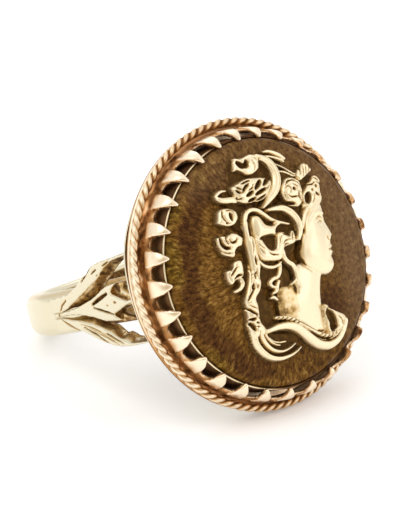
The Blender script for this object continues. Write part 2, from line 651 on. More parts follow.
def fan(points):
    """Shares of a shoulder's run, rise and drop, to (out, up) in mm."""
    p = np.asarray(points, float)
    rise = np.where(p[:, 1] > 0, leaf_rise, leaf_drop)
    return np.stack([leaf_root_x + p[:, 0] * leaf_run, p[:, 1] * rise], 1)


def facet(x, z, shape, ridge, stained):
    """(where it is, how far it sinks, its brown) of the facet from a ridge to the gap beside the leaf."""
    line = fan(ridge)
    upper = line[-1, 1] > 0
    q, length, side, _ = along_line(x, z, line, (1, 1, 1))
    inner = side * (1 if upper else -1) > 0
    share = np.where(inner, q / (q + np.clip(shape, 0.02, None)), 0)
    streaks = 0.5 + 0.5 * np.sin(q * 23 + 1.2 * np.sin(length * 1.3) + 0.7) * np.cos(length * 0.8 + q * 3)
    deep = 0.80 + 0.14 * ease(length / leaf_run * 1.6 - 0.6)
    lighter = 0.2 * ease(q / 0.9 - 0.3) if upper else 0.42 * ease(1.1 - q / 0.6)
    line_at = np.arange(0, 3, FACET_LINE_PITCH)
    lines = np.interp(q + 0.05 * np.sin(length * 2.3), line_at, grime_rng.normal(0, 1, len(line_at)))
    brown = ease(q / 0.07) * (deep - 0.36 * streaks - lighter + stained + 0.15 * lines)
    return inner, FACET_SINK * share, brown


def leaf(outline, ridge, slits, flare, sunk, grime, mirror):
    """One leaf in relief on the side of the ring, with a brown facet below its ridge if it has one."""
    outline = fan(outline)
    (x0, z0), (x1, z1) = outline.min(0) - 0.3, outline.max(0) + 0.3
    x, z = np.meshgrid(np.arange(x0, x1, LEAF_CELL), np.arange(z0, z1, LEAF_CELL))
    shape = soften(inside_distance(x, z, outline), 0.8)
    fall = rounded_edge(shape, LEAF_RIM)
    hand_work = 0.015 * np.sin(x * 7 + z * 3)
    height = 0.02 - sunk - fall - hand_work
    cavity = grime * np.where(z < 0, GRIME_BELOW, 1) + 0.5 * fall / LEAF_RIM * (1 - grime)
    stained = soften(grime_rng.normal(0, 1, x.shape), 2.0)
    cavity = cavity + GRIME_STRENGTH * stained * (grime > 0) * (shape > 0.1)
    if ridge is not None:
        inner, sink, brown = facet(x, z, shape, ridge, stained)
        height = height - sink
        cavity = np.where(inner, np.maximum(brown, cavity), cavity)
    for half, depth, points in slits:
        q = along_line(x, z, fan(points), (0.6 * half, half, 0.6 * half))[0]
        height = height - depth * np.clip(1.2 - q, 0, 1)
        cavity = np.maximum(cavity, ease((1.7 - q) / 0.9) * (0.65 + depth))
    height = soften(height, 0.5)
    surface = band_r + flare * (np.clip(x, 0, None) / leaf_end_x) ** 2
    sign = -1 if mirror else 1

    def place(px, pz, ph):
        return on_ring(np.stack([px, sign * ph, pz], -1))

    points, faces, dark = relief(x, z, shape, surface + height, surface - leaf_wall, np.clip(cavity, 0, 1),
                                 place, 0.66)
    return points, faces if mirror else [f[:, ::-1] for f in faces], dark


def band_section(front, to_back, top, bottom):
    """(outline, cavity) of the band at an angle from the setting, with its half widths above and below."""
    outer = band_r + (BAND_BACK_R - band_r) * to_back
    corners = [(bore_r, -bottom), (band_r, -bottom), (outer, top), (bore_r, top)]
    outline = rounded(corners, BAND_CORNER, 8)
    outline[:, 0] = np.maximum(outline[:, 0], bore_r)
    across = (outline[:, 1] - (top - bottom) / 2) / ((top + bottom) / 2)
    outside = outline[:, 0] > bore_r + 1
    worn_edge = 0.36 * np.exp(-((top - outline[:, 1] - 0.2) / 0.26) ** 2)
    towards_back = 0.2 * ease((front - 1.7) / 0.45)
    lower_side = 0.16 * ease((-across - 0.3) / 0.5)
    under_setting = 0.68 * ease((1.25 - front) / 0.3)
    in_bore = 0.88 * (outline[:, 0] < bore_r + 0.05)
    worn = np.maximum(np.maximum(worn_edge, towards_back), np.maximum(lower_side, under_setting))
    dome = BAND_DOME * ease(front / 1.2) * np.where(across < 0, 1 - to_back, 1)
    outline[:, 0] -= dome * across ** 2 * outside
    return outline, np.maximum(worn * outside, in_bore)


def band():
    """A domed strap, a little narrower at the back, with old polish in the bore and under the setting."""
    angle = all_round(BAND_STEPS).ravel()
    front = np.abs(np.angle(np.exp(1j * angle)))   # 0 under the setting, pi at the back
    to_back = ease((np.degrees(front) - 100) / 80)
    from_front = ease(front / 1.2)
    up = BAND_UP_SIDE + (BAND_UP_BACK - BAND_UP_SIDE) * to_back
    down = BAND_DOWN_SIDE + (BAND_DOWN_BACK - BAND_DOWN_SIDE) * to_back
    up, down = (band_w / 2 + (half - band_w / 2) * from_front for half in (up, down))
    sections, dark = zip(*(band_section(*row) for row in zip(front, to_back, up, down)))
    r, h = np.moveaxis(np.array(sections), -1, 0)
    points = np.stack([r * np.cos(angle)[:, None], r * np.sin(angle)[:, None], h], -1)
    return on_ring(points), closed_faces(*r.shape), np.array(dark).ravel()


def gallery_plate():
    """The pierced plate behind the setting, a little wider where the upper leaves end."""
    top = PLATE_BOTTOM + PLATE_THICKNESS
    outline = strap(gallery_r - PLATE_WIDTH, gallery_r, PLATE_BOTTOM, top, 0.07)
    angle = all_round(256)
    from_side = np.abs(np.angle(np.exp(1j * angle)))
    beyond = np.minimum(from_side, math.pi - from_side) - LOBE_AT
    lobes = LOBE_OUT * np.exp(-(beyond / LOBE_SPREAD) ** 2) * (np.sin(angle) > 0)
    r = outline[None, :, 0] + lobes * (outline[None, :, 0] > gallery_r - 0.5)
    return round_setting(r, angle, outline[None, :, 1]), closed_faces(*r.shape), 0.1


leaves = [leaf(*columns, mirror) for mirror in (False, True) for columns in LEAVES]
make_piece("band_and_leaves", [band(), gallery_plate(), *leaves], band_gold, "shank")

# Toothed crown

TOOTH_COUNT = 29
TOOTH_PHASE = math.radians(88.2)
TOOTH_HALF, CREASE_HALF, TIP_HALF = 0.74, 0.47, 0.13
TIP_ROUND = TIP_HALF + 0.12
TOOTH_THICK, TOOTH_RIM, TOOTH_BELLY = 0.3, 0.07, 0.07
TOOTH_SHORTER = 0.4
UNEVEN = (0.025, 0.03, 0.04)     # spread of the teeth's half width, lean and length
CROWN_CELL = 0.068
FOOT_R = 11.05
PLATE_H, NOTCH_H, CREASE_H = 0.8, 1.3, 2.3
PLATE_RAISE = 0.1
# The crown is pressed in a little round this angle
PRESSED_AT, PRESSED_IN, PRESSED_DOWN = math.radians(25), 0.18, 0.12
# Side profile of the strip that the teeth are cut from: radius, height
CROWN_PROFILE = [
    (FOOT_R + 0.1, -0.3), (FOOT_R + 0.02, 0.0), (FOOT_R, 0.6), (FOOT_R - 0.02, 1.3), (FOOT_R - 0.1, 1.9),
    (10.68, 2.42), (10.3, 2.68), (9.8, 2.8)]
# Teeth bent by hand: place round the rim in degrees, how much further in they reach, how much they lean
TOOTH_BENDS = [
    (-137, -0.1, -0.22), (-110, 0.0, -0.3), (-60, 0.05, 0.0), (0, 0.05, 0.0), (60, 0.05, 0.03),
    (85, 0.08, -0.1), (112, 0.3, -0.2), (138, 0.28, 0.0), (151, 0.2, 0.17), (180, 0.1, 0.0),
    (223, -0.1, -0.22)]
# Section of the seat: radius, height
SEAT = [
    (9.1, -1.06), (10.8, -1.06), (10.8, -0.77), (seat_r, -0.77), (seat_r, -0.45), (FOOT_R + 0.1, -0.3),
    (FOOT_R - 0.02, 0.05), (FOOT_R - 0.3, 0.05), (FOOT_R - 0.3, -0.15), (9.1, -0.15)]


def uneven_teeth():
    """(added half width, lean, added length) of each tooth."""
    wide, lean, longer = (rng.normal(0, spread, TOOTH_COUNT) for spread in UNEVEN)
    bend_at, bend_in, bend_lean = np.array(TOOTH_BENDS).T
    at_tooth = np.degrees(TOOTH_PHASE + FULL_TURN * np.arange(TOOTH_COUNT) / TOOTH_COUNT)
    at_tooth = (at_tooth - bend_at[0]) % 360 + bend_at[0]
    lean = lean + np.interp(at_tooth, bend_at, bend_lean)
    return wide, lean, longer - TOOTH_SHORTER + np.interp(at_tooth, bend_at, bend_in)


def tooth_outline(x, s, tip, wide, pitch, plate, notch, crease):
    """(distance inside the strip, distance inside a tooth, a tooth's half width).

    x is from a tooth's middle line and s up the strip, where plate, notch, crease and tip are places too.
    """
    share = np.where(s < crease, (s - plate) / (crease - plate), 1 + (s - crease) / (tip - crease))
    below = TOOTH_HALF + (CREASE_HALF - TOOTH_HALF) * share
    above = CREASE_HALF + (TIP_HALF - CREASE_HALF) * (share - 1)
    half = np.where(share < 1, below, above) + wide
    half = np.where(s < plate, TOOTH_HALF + wide, half)
    half += 0.04 * np.sin(np.clip(share / 2, 0, 1) * math.pi)
    past_round = s - (tip - TIP_ROUND)
    round_tip = TIP_ROUND - np.hypot(x, np.maximum(past_round, 0))
    flank = np.where(past_round > 0, np.minimum(half - x, round_tip), half - x)
    # between the teeth the wall ends in a round notch
    gap = pitch / 2 - np.interp(notch, s[:, 0], half[:, 0])
    wall = np.hypot(pitch / 2 - x, notch + gap - s) - gap
    wall = np.where(s < notch + gap * 0.9, np.maximum(notch - s, wall), -1)
    return soften(np.maximum(flank, wall), 0.5), flank, half


def crown_patina(angle, s, plate, raised):
    """Brown between the teeth, at their feet and on the teeth at a viewer's right."""
    mottled = soften(rng.normal(0, 1, s.shape), 3.3)
    on_right = ease(np.cos(angle + TOOTH_PHASE) * 1.6 - 0.3)
    foot = 0.5 * ease(1 - (s - plate) / 1.1) + (0.56 + 2.0 * mottled) * on_right
    foot = foot + 0.9 * np.clip(mottled, 0, 0.2)
    between_teeth = np.clip(1 - raised, 0, 1) * (0.74 + 1.7 * mottled)
    cavity = np.clip(np.maximum(between_teeth, raised * foot), 0, 1)
    return np.where(s < 0.25, 0.62, cavity)


def crown_strip():
    """The wall with its teeth, cut from one strip that bends in over the stone."""
    profile = smooth_line(CROWN_PROFILE, 10)
    direction = np.gradient(profile, axis=0)
    direction /= np.linalg.norm(direction, axis=1)[:, None]
    length = np.concatenate([[0], np.cumsum(np.hypot(*np.diff(profile, axis=0).T))])
    plate, notch, crease = (np.interp(h, profile[:, 1], length) for h in (PLATE_H, NOTCH_H, CREASE_H))
    pitch = FULL_TURN * FOOT_R / TOOTH_COUNT
    columns = int(FULL_TURN * FOOT_R / CROWN_CELL)
    columns -= columns % 2
    angle, s = np.meshgrid(np.linspace(0, FULL_TURN, columns + 1), np.arange(0, length[-1] + 0.1, CROWN_CELL))
    in_teeth = angle / FULL_TURN * TOOTH_COUNT
    number = np.floor(in_teeth).astype(int) % TOOTH_COUNT
    wide, lean, longer = (values[number] for values in uneven_teeth())
    tip = length[-1] + longer
    up = np.clip((s - notch) / (tip - notch), 0, 1)
    x = np.abs((in_teeth % 1 - 0.5) * pitch - lean * up ** 2)
    shape, flank, half = tooth_outline(x, s, tip, wide, pitch, plate, notch, crease)

    raised = ease(flank / 0.07) * ease((s - plate) / 0.09)
    fall = rounded_edge(shape, TOOTH_RIM)
    belly = TOOTH_BELLY * np.clip(1 - (x / np.maximum(half, 0.05)) ** 2, 0, 1) * ease(up * 2)
    thick = TOOTH_THICK * (1 - 0.4 * ease((s - crease) / (tip - crease)))
    top, base = belly - fall + PLATE_RAISE * raised, fall * 0.5 - thick

    def place(a, along, out):
        a = a + TOOTH_PHASE - math.pi / TOOTH_COUNT
        r = np.interp(along, length, profile[:, 0]) + out * np.interp(along, length, direction[:, 1])
        h = np.interp(along, length, profile[:, 1]) - out * np.interp(along, length, direction[:, 0])
        pressed = ease(1.3 * np.cos(a - PRESSED_AT) - 0.1) * ease(h / 1.6)
        return round_setting(r - PRESSED_IN * pressed, a, h - PRESSED_DOWN * pressed)

    return relief(angle, s, shape, top, base, crown_patina(angle, s, plate, raised), place, 0.3)


def crown_seat():
    """The ring under strip and wire, polished outside at the upper left and brown elsewhere."""
    outline = rounded(SEAT, 0.08)
    points, faces = lathe(outline)
    polished = arc_share(len(points), 80, 20, 205, 25)
    outside, inside = outline[:, 0] > seat_r - 0.4, outline[:, 0] < FOOT_R - 0.2
    dark = np.where(outside, 0.66 - 0.6 * polished, np.where(inside, 0.3, 0.7))
    dark = np.where(outside & (outline[:, 1] < -0.6), 0.9, dark)
    return points, faces, dark.ravel()


make_piece("toothed_crown", [crown_strip(), crown_seat()], rose_gold, "crown")

# Twisted wire border

ROPE_TURNS = 42
STRAND_SIDES, STRAND_STEPS = 14, 24
WIRE_ROPE_R = 0.36
WIRE_SHARE, OFFSET_SHARE = 0.68, 0.32   # a wire's radius and its distance from the middle, in the rope's
ROPE_FORE, ROPE_UP = 0.15, 0.05         # the soldered wire lies a little forward and high on its seat


def strand(start):
    """One of the two wires, wound round the middle of the rope from a start angle."""
    angle = all_round(ROPE_TURNS * STRAND_STEPS)
    winding = start + ROPE_TURNS * angle
    section = winding + all_round(STRAND_SIDES).T
    wire_r, offset = WIRE_ROPE_R * WIRE_SHARE, WIRE_ROPE_R * OFFSET_SHARE
    out = offset * np.cos(winding) + wire_r * np.cos(section)
    fore = offset * np.sin(winding) + wire_r * np.sin(section)
    r = rope_ring_r + out
    points = np.stack([r * np.cos(angle), r * np.sin(angle) + ROPE_UP, fore + ROPE_FORE], -1)
    # brown between the wires, more on the inside and at the top and bottom of the setting
    deep = np.clip((WIRE_ROPE_R * 0.9 - np.hypot(out, fore)) / (WIRE_ROPE_R * 0.45), 0, 1)
    inner = np.clip(-out / WIRE_ROPE_R, 0, 1)
    shaded = np.sin(angle) ** 2
    dark = deep * (0.35 + 0.6 * inner + 1.4 * shaded) + (0.15 + 0.5 * shaded) * inner + 0.33 * shaded
    return on_setting(points), closed_faces(*out.shape), np.clip(dark, 0, 1).ravel()


make_piece("twisted_wire", [strand(0), strand(math.pi)], rope_gold, "rope_border")

# Collet and stone

COLLET_WALL, COLLET_BOTTOM, COLLET_CORNER = 0.2, -0.15, 0.09
STONE_BOTTOM, STONE_MIDDLE_R = -0.09, 0.05


def collet():
    """The wall round the stone. On the left its edge is bright and the wall itself less brown."""
    outline = strap(collet_r - COLLET_WALL, collet_r, COLLET_BOTTOM, collet_top, COLLET_CORNER, 6)
    points, faces = lathe(outline, 360)
    bright = arc_share(len(points), 95, 20, 280, 50)
    cleaner = arc_share(len(points), 125, 30, 225, 40)
    edge = (outline[:, 1] > collet_top - 0.06) & (outline[:, 0] > collet_r - 0.1)
    wall_dark = np.where(outline[:, 1] < 0, 0.92 - 0.82 * cleaner, 0.92 - 0.2 * cleaner)
    return points, faces, np.where(edge, 0.9 - 0.88 * bright, wall_dark).ravel()


def cabochon():
    """The stone: an upright wall, a round shoulder and a shallow dome."""
    shoulder = np.linspace(0, math.pi / 2, 10)
    rings = [(stone_r, STONE_BOTTOM), (stone_r, 1.0)]
    rings += [(dome_edge_r + stone_shoulder * math.cos(a), stone_wall_h + stone_shoulder * math.sin(a))
              for a in shoulder]
    rings += [(r, dome_height(r)) for r in np.linspace(dome_edge_r, STONE_MIDDLE_R, 40)[1:]]
    rings += [(STONE_MIDDLE_R, STONE_BOTTOM)]
    return *lathe(rings, 200), 0.0


make_piece("collet_wall", [collet()], collet_gold, "collet")
make_piece("cabochon", [cabochon()], brown_stone(), "stone")

# The bust, in hundredths of its own height: x the way it looks, y up

BUST_H = 16.7
UNIT = BUST_H / 100
BUST_SHIFT = -0.87
RELIEF_SCALE = 0.8
BUST_TURN = math.radians(6.6)
BUST_CELL = 0.35
BUST_WEST, BUST_EAST, BUST_SOUTH, BUST_NORTH = -33, 42, -49, 56
GROUND_H, GROUND_SHARE = 0.36, 0.88
SWELL_FOOT = 0.2               # height at which an outline's rounded edge starts
GROOVE_DEPTH = 0.1
SHADE_REACH = 3.4              # cells round a hollow over which its brown is worked out

# Full parts of hair and cloth: height, width of the rounded edge, crowning, outline
REGIONS = [
    # curl on top, with the turn down to the crescent
    (1.03, 0.9, 0.1, [(-11.4, 45.8), (-10.6, 48.6), (-9.8, 50.6), (-8.6, 52.2), (-5.6, 51.6), (-2, 52.2),
        (1.6, 52.8), (4.6, 51.4), (4.8, 49.4), (4, 47.2), (2.8, 45), (0.4, 43.6), (-2, 42.8), (-5, 43),
        (-7, 44.5), (-9.8, 45.9)]),
    # bun under its net
    (1.03, 1.0, 0.2, [(-15.6, 38.6), (-15.4, 34), (-14.2, 31.2), (-10.5, 29.6), (-5.5, 29.8), (0, 30),
        (4, 32.4), (7.4, 36.6), (7, 39.6), (2.5, 41.2), (-4, 41.8), (-9, 41.2), (-13, 39.8)]),
    # heart shaped fold before the ear, and the bowl of hair round it with its waves
    (1.05, 1.4, 0.2, [(-10.4, 21), (-9.2, 23.6), (-6.6, 24), (-4.6, 23), (-3.4, 21), (-2.4, 19.2),
        (-0.4, 18.2), (2, 18), (4, 18.8), (6.4, 18.2), (8.6, 17.2), (6, 16.6), (4, 15.8), (2.8, 14.2),
        (2.6, 12.4), (-1, 12.9), (-6, 12.6), (-8.4, 11.5), (-10.2, 13.5), (-10.6, 17)]),
    (0.98, 1.0, 0.12, [(-10.2, 13.4), (-8, 12.6), (-6.2, 12), (-4.6, 8.9), (-2.4, 6.4), (0.8, 6.7),
        (2.1, 9.6), (2.7, 12.2), (3.6, 13.5), (5.4, 14), (7.4, 13.6), (9, 12.4), (10.2, 11.4),
        (11.6, 12.6), (12.8, 13.8), (13.8, 12), (13.8, 9.6), (14.2, 8.2), (11.8, 6.6), (8.6, 6.4),
        (6.2, 5.8), (4.6, 3.6), (3.4, 1.2), (1.6, 0.3), (-3, 0.6), (-7.4, 1.6), (-9.4, 3.6), (-10.2, 7)]),
    # rose, feather and side leaf
    (1.03, 1.2, 0.25, [(11.8, 30), (12.8, 34.6), (16.6, 37.8), (21.6, 38.2), (25.4, 35.4), (25.4, 30),
        (23.8, 25.8), (19.4, 23.2), (14.6, 25.6)]),
    (1.0, 0.8, 0.1, [(24.4, 38.6), (27.6, 41.2), (31.6, 43.8), (34, 42.6), (35.2, 39.6), (31.8, 38),
        (28.4, 36.4), (25.6, 35.6)]),
    (1.0, 0.8, 0.1, [(28.8, 32.6), (33.2, 35.4), (36.6, 37.2), (38.9, 34.4), (37.8, 31.8), (36.9, 28.4),
        (35.6, 24.4), (32.8, 22.8), (29.4, 22.4), (25.6, 23.4), (24.4, 26.6), (25.8, 30)]),
    # side roll, curls and ringlet at the back of the head
    (1.0, 0.8, 0.1, [(-25.6, 34.4), (-24.8, 36), (-22, 35.2), (-18, 34.8), (-15.4, 34.2), (-14.6, 32),
        (-15.2, 30.6), (-18, 31.1), (-21.2, 31.5), (-24, 32.4)]),
    (1.0, 0.9, 0.1, [(-27.2, 25.6), (-26.2, 28.4), (-24.2, 29.8), (-20.2, 29.6), (-17, 27.6),
        (-16.4, 25.4), (-16.8, 23.6), (-19, 21.3), (-22, 20.6), (-25.6, 21.5), (-28, 23.2)]),
    (1.0, 0.8, 0.1, [(-30.2, 16.6), (-30.6, 13.5), (-29.8, 10.4), (-28.2, 7.6), (-24.4, 6), (-22.8, 6.8),
        (-22.2, 8.8), (-20.4, 10.3), (-18.2, 10.8), (-16.7, 14.1), (-17.8, 15.7), (-20, 17.4),
        (-22, 17.9), (-23.6, 17.4), (-25.6, 17), (-28, 17.4)]),
    (1.0, 0.7, 0.1, [(-20.2, 4), (-23.8, 4.4), (-25.8, 1.4), (-29.2, 0.4), (-29.2, -4), (-27.6, -6.6),
        (-25, -4.8), (-22, -4.2), (-20.2, -2.6)]),
    # long lock down the back
    (1.03, 1.0, 0.15, [(-15.9, 14), (-16.2, 5), (-16.5, 0), (-18, -5), (-20, -10), (-21.9, -14.6),
        (-21.8, -18), (-21.6, -24), (-21.7, -28), (-20.6, -33), (-17.4, -33.4), (-13, -32.6),
        (-12.4, -29.6), (-14.8, -26), (-15, -22), (-15.1, -18), (-15.6, -15), (-12.9, -12), (-11.4, -8),
        (-11.5, -5), (-10, 0), (-10.2, 5), (-10.6, 13.6), (-13.6, 15)]),
    # end of the drapery over the shoulder
    (1.03, 1.2, 0.15, [(25.2, -24.4), (29, -26.8), (33, -28.8), (37.2, -30.8), (38.6, -33), (37.2, -37),
        (34.8, -40.4), (31.4, -38.4), (26.6, -38.6), (24.8, -33)])]
# Locks and folds: half width at the start, middle and end, height, grooves along, points
STRANDS = [
    (0.7, 2.9, 1.7, 1.2, 2, [(-1.4, 26.6), (4, 30.2), (8.6, 33.8), (11.3, 38), (11.8, 42.4), (10.6, 46.4),
        (8, 49), (4.4, 50.8)]),
    (0.6, 0.9, 0.5, 0.95, 0, [(-25, 35.8), (-23.4, 37), (-21.2, 37.8), (-18.8, 37.6)]),
    (1.0, 1.3, 1.0, 0.95, 0, [(-21.8, -4.6), (-21.4, -6.8), (-23, -8.8), (-25.8, -9.8)]),
    # band over the crown of the head, and the side crescent down to the ear
    (1.2, 1.3, 0.6, 1.2, 1, [(-14.4, 13), (-14.3, 17), (-13.8, 21), (-12.2, 24.8), (-9.2, 26.5),
        (-5.6, 26), (-2.4, 23.6), (0.6, 20.9), (4, 19), (8, 17.6), (11, 16.6)]),
    (0.9, 2.3, 1.0, 1.3, 1, [(0.8, 25), (5.4, 25), (10.4, 24.2), (14.8, 21), (17.2, 16.6), (16.8, 12),
        (14.8, 8.6)]),
    # rim under the bowl
    (0.6, 1.1, 0.6, 0.85, 0, [(-10.2, 2.6), (-8, -0.2), (-4.4, -1.8), (-0.6, -1.9), (2.8, -0.4)]),
    # ringlets before the ear and on the neck
    (1.1, 1.5, 1.0, 1.0, 1, [(4.8, 4.4), (4.8, 1.5), (6.4, -1), (9, -3), (10.2, -6), (10.4, -9.5),
        (11.6, -14)]),
    (0.5, 0.8, 0.6, 0.9, 0, [(6.6, -11.8), (9, -10.4), (11, -9)]),
    (0.8, 0.9, 0.4, 0.9, 0, [(11.4, -10), (11, -13), (10.2, -17)]),
    (0.8, 1.2, 0.8, 0.9, 0, [(1.8, -1.8), (0.8, -5), (-1, -7), (-4, -7.6), (-6, -9.2), (-5, -11),
        (-3, -11.6)]),
    (0.7, 1.2, 0.7, 0.9, 0, [(-0.6, -9), (-2, -11), (-3, -13.4), (-5.2, -14.3)]),
    (0.6, 1.1, 0.6, 0.8, 0, [(-6.6, -16.3), (-4.8, -16.2), (-3, -17.8)]),
    # nested arcs below the long lock
    (1.9, 1.5, 0.4, 1.0, 1, [(-19, -31), (-18.2, -36), (-15, -40.6), (-10.4, -44), (-4.6, -45.5),
        (1, -45), (5, -43.6), (7.9, -41.8)]),
    (1.2, 1.1, 0.4, 0.95, 0, [(-14.7, -30), (-14.4, -34), (-12, -38), (-8.5, -40.9), (-4, -42.2),
        (0.4, -41.6), (4.6, -39.8)]),
    (0.7, 0.7, 0.3, 0.8, 0, [(-12.6, -31.4), (-11.5, -34), (-9.2, -36.8), (-6.6, -38.5), (-4, -39.2)]),
    (0.3, 0.4, 0.3, 0.6, 0, [(-10.4, -34), (-7.6, -36.6), (-4, -37.8), (0, -38)]),
    # drapery roll, and the strap of the shoulder
    (1.5, 2.9, 2.2, 1.3, 0, [(-11.5, -31.2), (-6, -30.5), (0, -30.8), (5.5, -32.7), (10.5, -36.3),
        (15.5, -40.4), (20.5, -43), (26, -43.9), (31, -42.3), (35, -38.6), (37.2, -34.5)]),
    # ribbon and stems on top
    (0.5, 1.2, 0.9, 0.95, 0, [(9.6, 52.6), (13.4, 52.2), (18, 50), (20.6, 47.6)]),
    (0.5, 0.9, 0.8, 0.9, 0, [(10.6, 50.4), (14.4, 49.2), (18, 47.6), (19.6, 46.4)]),
    (0.3, 0.45, 0.4, 0.5, 0, [(15.4, 46), (19.6, 43.6), (25, 39.6)]),
    (0.3, 0.45, 0.4, 0.5, 0, [(15, 42.4), (19.4, 41.4), (24.4, 38.6)]),
    # front hair, from the flowers back over the temple
    (0.6, 1.3, 0.6, 1.25, 1, [(35.4, 28), (34.6, 25.2), (31, 22.6), (26.6, 21)]),
    (0.7, 1.9, 0.7, 1.32, 2, [(32, 24.4), (28, 20.6), (23.6, 16.6), (20.2, 11)]),
    (0.5, 1.3, 0.5, 1.25, 1, [(26.4, 23.4), (23, 20.6), (20.6, 16.8), (18.6, 13)])]
